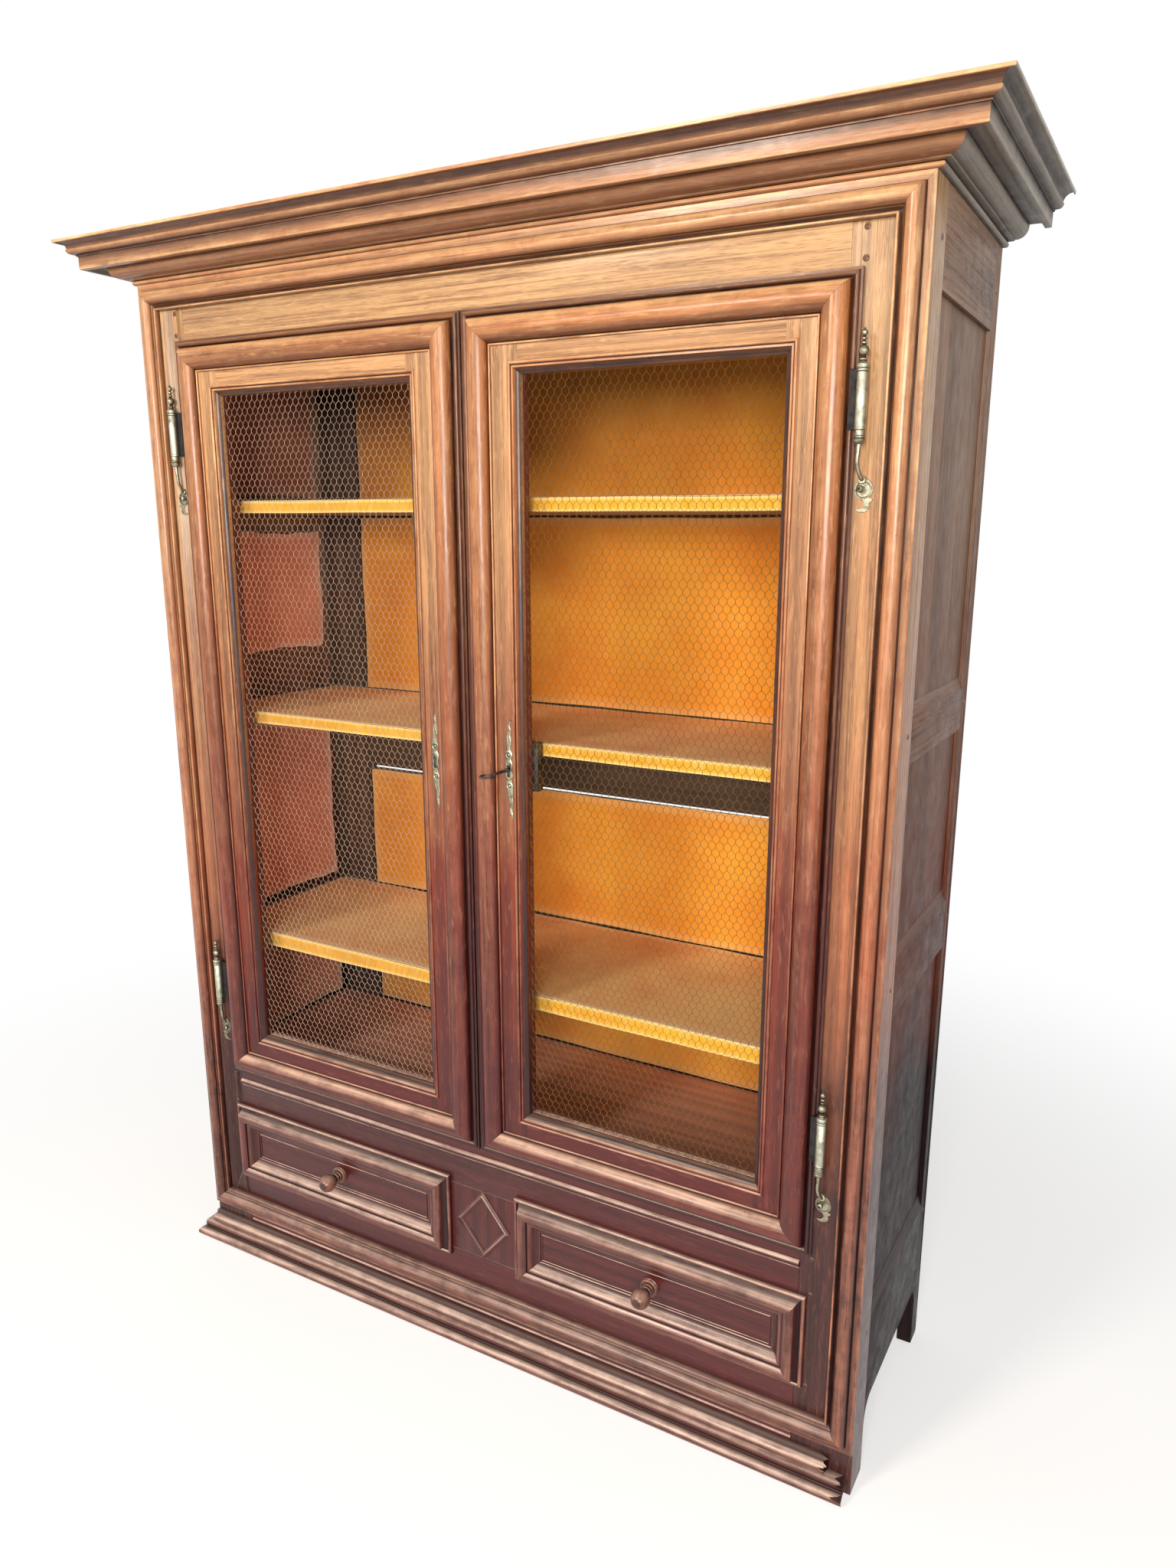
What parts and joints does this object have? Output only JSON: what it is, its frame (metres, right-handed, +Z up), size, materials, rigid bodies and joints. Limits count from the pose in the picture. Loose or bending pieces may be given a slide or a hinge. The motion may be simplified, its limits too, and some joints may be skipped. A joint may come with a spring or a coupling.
{
  "type": "bookcase cabinet",
  "caption": "Country oak bookcase made over from a wardrobe: wire-mesh doors over drawers, deep cornice, heavy mouldings, moulded plinth and a lined interior with shelves.",
  "frame": {"origin": "on the floor, under the middle of the whole bounding box", "axes": "+X to the right seen from the front, +Y to the back, +Z up; the doors and drawers face -Y"},
  "size_m": [1.674, 0.55, 2.074],
  "materials": {
    "oak_light": "waxed",
    "oak_mid": "waxed",
    "oak_dark": "waxed",
    "oak_side": "weathered",
    "deal": "raw",
    "orange_cloth": "matte",
    "terracotta_cloth": "matte",
    "yellow_cloth": "matte",
    "brass_wire": "aged",
    "aged_brass": "aged",
    "dark_iron": "aged"
  },
  "bodies": {
    "case": {"front_post_left": "oak_mid", "front_post_right": "oak_mid", "rear_post_left": "oak_side", "rear_post_right": "oak_side", "top_rail": "oak_light", "mid_rail": "oak_mid", "bottom_rail": "oak_dark", "centre_board": "oak_dark", "diamond_moulding": "oak_dark", "frame_moulding": "oak_mid", "side_rails_left": "oak_side", "side_rails_right": "oak_side", "side_panels_left": "oak_side", "side_panels_right": "oak_side", "back_frame": "oak_side", "back_panels": "deal", "roof_board": "deal", "floor_board": "deal", "shelf_upper": "deal", "shelf_middle": "deal", "shelf_lower": "deal", "shelf_battens": "deal", "cornice_front": "oak_light", "cornice_left": "oak_side", "cornice_right": "oak_side", "plinth_upper": "oak_dark", "plinth_lower": "oak_dark", "drawer_runners": "deal", "lining_back": "orange_cloth", "lining_left": "terracotta_cloth", "lining_right": "terracotta_cloth", "shelf_cloths": "yellow_cloth", "frame_pegs": "oak_light", "hinge_pintles": "aged_brass", "hinge_plates": "aged_brass"},
    "left_door": {"left_door_frame": "oak_mid", "left_door_moulding": "oak_mid", "left_door_mesh": "brass_wire", "left_door_fillets": "oak_dark", "left_escutcheon": "aged_brass", "left_hinge_barrels": "aged_brass", "left_door_staples": "dark_iron"},
    "right_door": {"right_door_frame": "oak_mid", "right_door_moulding": "oak_mid", "right_door_mesh": "brass_wire", "right_door_fillets": "oak_dark", "right_escutcheon": "aged_brass", "right_hinge_barrels": "aged_brass", "lock_case": "dark_iron"},
    "left_drawer": {"left_drawer_front": "oak_dark", "left_drawer_box": "deal", "left_drawer_knob": "oak_mid"},
    "right_drawer": {"right_drawer_front": "oak_dark", "right_drawer_box": "deal", "right_drawer_knob": "oak_mid"},
    "upper_bolt": {"upper_bolt": "dark_iron"},
    "lower_bolt": {"lower_bolt": "dark_iron"},
    "lock_bolt": {"lock_bolt": "dark_iron"},
    "key": {"key": "dark_iron"}
  },
  "joints": [
    {"name": "left_door_hinge", "type": "hinge", "parent": "case", "child": "left_door", "pos_m": [-0.657, -0.19, 0.6], "axis": [0, 0, -1], "range_deg": [0, 115]},
    {"name": "right_door_hinge", "type": "hinge", "parent": "case", "child": "right_door", "pos_m": [0.657, -0.19, 0.6], "axis": [0, 0, 1], "range_deg": [0, 115]},
    {"name": "left_drawer_slide", "type": "slide", "parent": "case", "child": "left_drawer", "axis": [0, -1, 0], "range_m": [0, 0.28]},
    {"name": "right_drawer_slide", "type": "slide", "parent": "case", "child": "right_drawer", "axis": [0, -1, 0], "range_m": [0, 0.28]},
    {"name": "key_turn", "type": "hinge", "parent": "right_door", "child": "key", "pos_m": [0.08175, -0.173, 1.17], "axis": [0, -1, 0], "range_deg": [0, 360]},
    {"name": "lock_bolt_slide", "type": "slide", "parent": "right_door", "child": "lock_bolt", "axis": [-1, 0, 0], "range_m": [0, 0.012]},
    {"name": "upper_bolt_slide", "type": "slide", "parent": "left_door", "child": "upper_bolt", "axis": [0, 0, 1], "range_m": [0, 0.02]},
    {"name": "lower_bolt_slide", "type": "slide", "parent": "left_door", "child": "lower_bolt", "axis": [0, 0, -1], "range_m": [0, 0.02]}
  ],
  "couplings": [
    {"joint": "key_turn", "follows": "lock_bolt_slide", "rad_per_m": 523.6}
  ]
}
